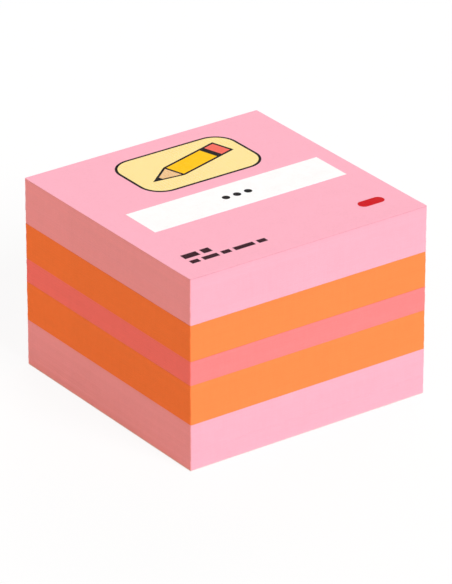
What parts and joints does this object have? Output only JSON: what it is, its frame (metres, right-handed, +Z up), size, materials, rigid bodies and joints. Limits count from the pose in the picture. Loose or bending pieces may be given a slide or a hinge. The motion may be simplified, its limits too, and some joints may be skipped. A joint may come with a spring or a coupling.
{
  "type": "sticky note pad",
  "caption": "Square cube of sticky notes in bands of pink, orange and coral paper, with a plain printed top sheet.",
  "frame": {"origin": "centre of the bottom face, which rests on the desk", "axes": "+Z up through the stack; -Y is the reader's side, +X the reader's right; glue strips lie near +Y"},
  "size_m": [0.051, 0.051, 0.037],
  "materials": {
    "pink_paper": "uncoated wood-free paper, dull, dyed through",
    "orange_paper": "uncoated wood-free paper, dull, dyed through",
    "coral_paper": "uncoated wood-free paper, dull, dyed through",
    "backing_paper": "smooth white backing paper, slightly glossy",
    "glue": "clear tacky film of fine beads",
    "white_ink": "white printed field, satin",
    "black_ink": "black printed ink, satin",
    "cream_ink": "cream printed ink, satin",
    "amber_ink": "amber printed ink, satin",
    "tan_ink": "tan printed ink, satin",
    "coral_ink": "coral printed ink, satin",
    "plum_ink": "dark plum printed ink, satin",
    "red_ink": "red printed ink, satin"
  },
  "bodies": {
    "root": {"backing_sheet": "backing_paper", "lower_pink_sheets": "pink_paper", "lower_orange_sheets": "orange_paper", "coral_sheets": "coral_paper", "upper_orange_sheets": "orange_paper", "upper_pink_sheets": "pink_paper", "printed_top_sheet": "pink_paper", "glue_under_lower_pink_sheets": "glue", "glue_under_lower_orange_sheets": "glue", "glue_under_coral_sheets": "glue", "glue_under_upper_orange_sheets": "glue", "glue_under_upper_pink_sheets": "glue", "glue_under_printed_top_sheet": "glue", "print_writing_field": "white_ink", "print_field_dots": "black_ink", "print_emblem_frame": "black_ink", "print_emblem_panel": "cream_ink", "print_pencil_lines": "black_ink", "print_pencil_wood": "tan_ink", "print_pencil_barrel": "amber_ink", "print_pencil_eraser": "coral_ink", "print_small_bars": "plum_ink", "print_red_pill": "red_ink"}
  },
  "joints": []
}
